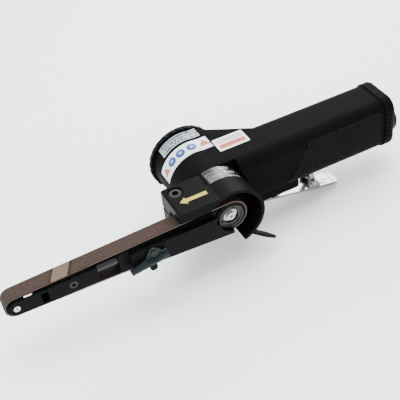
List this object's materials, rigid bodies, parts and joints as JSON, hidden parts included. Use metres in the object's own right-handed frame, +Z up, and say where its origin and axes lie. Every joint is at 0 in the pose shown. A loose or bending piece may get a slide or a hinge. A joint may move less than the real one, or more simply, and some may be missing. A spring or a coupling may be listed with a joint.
{
  "type": "narrow belt sander",
  "caption": "Air-driven handheld belt sander with a slim arm, swivelling belt guard, knurled motor cap and a squeeze lever under the handle.",
  "frame": {"origin": "where the motor axis crosses the middle plane of the belt", "axes": "+X back along the handle to the air inlet, arm towards -X; +Y along the motor axis away from the pulley; +Z up"},
  "size_m": [0.2866, 0.0799, 0.063],
  "materials": {
    "housing": "matte",
    "guard": "satin",
    "arm": "satin",
    "black_steel": "gloss",
    "steel": "satin",
    "chrome": "polished",
    "brass": "satin",
    "aluminium": "satin",
    "rubber": "matte",
    "bronze": "satin",
    "vane": "matte",
    "abrasive": "rough",
    "felt": "matte",
    "release": "satin",
    "knob": "matte",
    "spring_steel": "satin"
  },
  "bodies": {
    "housing": {"motor_housing": "housing", "motor_end_cap": "housing", "rear_cover": "housing", "front_end_plate": "steel", "cylinder_liner": "steel", "rear_end_plate": "steel", "front_bearing": "steel", "rear_bearing": "steel", "shaft_seal": "felt", "rear_cover_screws": "black_steel", "air_inlet_bushing": "steel", "air_strainer": "brass", "exhaust_muffler": "felt", "valve_bushing": "brass", "valve_spring": "spring_steel", "throttle_lever_pin": "steel"},
    "drive": {"rotor_shaft": "steel", "rotor_vanes": "vane", "drive_pulley": "black_steel", "pulley_tyre": "rubber", "pulley_washer": "chrome", "pulley_screw": "steel"},
    "arm": {"belt_guard": "guard", "clamp_bolt": "black_steel", "arm_bracket": "arm", "bracket_screws": "black_steel", "arm_collar": "arm", "tension_spring": "spring_steel", "tension_lever_pin": "black_steel", "abrasive_belt": "abrasive"},
    "fork": {"slider_tube": "black_steel", "fork_body": "arm", "near_side_plate": "arm", "far_side_plate": "arm", "side_plate_screw": "black_steel", "platen": "steel", "idler_axle": "steel"},
    "idler": {"idler_wheel": "aluminium", "idler_bush": "bronze"},
    "release": {"tension_lever": "release"},
    "knob": {"tracking_knob": "knob"},
    "throttle": {"throttle_lever": "chrome", "latch_pin": "steel", "latch_spring": "spring_steel"},
    "latch": {"safety_latch": "chrome"},
    "valve": {"throttle_valve": "steel"}
  },
  "joints": [
    {"name": "arm_swivel", "type": "hinge", "parent": "housing", "child": "arm", "pos_m": [0, 0, 0], "axis": [0, 1, 0], "range_deg": [-90, 70]},
    {"name": "drive_spin", "type": "hinge", "parent": "housing", "child": "drive", "pos_m": [0, 0, 0], "axis": [0, 1, 0], "continuous": true},
    {"name": "tension_slide", "type": "slide", "parent": "arm", "child": "fork", "axis": [1, 0, 0], "range_m": [0, 0.004], "stiffness_N_per_m": 100, "springref_m": -0.01, "deforming": ["tension_spring"]},
    {"name": "idler_spin", "type": "hinge", "parent": "fork", "child": "idler", "pos_m": [-0.13776, 0, 0], "axis": [0, 1, 0], "continuous": true},
    {"name": "tension_release", "type": "hinge", "parent": "arm", "child": "release", "pos_m": [-0.054, -0.0081, 0.0014], "axis": [0, 1, 0], "range_deg": [0, 24]},
    {"name": "tracking_turn", "type": "hinge", "parent": "arm", "child": "knob", "pos_m": [-0.056, -0.0081, -0.0074], "axis": [0, -1, 0], "range_deg": [-180, 180]},
    {"name": "throttle_press", "type": "hinge", "parent": "housing", "child": "throttle", "pos_m": [0.038, 0.0292, -0.024], "axis": [0, -1, 0], "range_deg": [0, 9.5], "stiffness_Nm_per_rad": 0.4, "springref_deg": -17.19},
    {"name": "latch_fold", "type": "hinge", "parent": "throttle", "child": "latch", "pos_m": [0.07784, 0.0292, -0.03131], "axis": [0, -1, 0], "range_deg": [0, 50]},
    {"name": "valve_lift", "type": "slide", "parent": "housing", "child": "valve", "axis": [0, 0, 1], "range_m": [0, 0.00201], "deforming": ["valve_spring"]}
  ],
  "couplings": [
    {"joint": "idler_spin", "follows": "drive_spin", "ratio": 1.7288},
    {"joint": "tension_release", "follows": "tension_slide", "rad_per_m": 104.72},
    {"joint": "latch_fold", "follows": "throttle_press", "ratio": 5.2632},
    {"joint": "valve_lift", "follows": "throttle_press", "m_per_rad": 0.012}
  ]
}
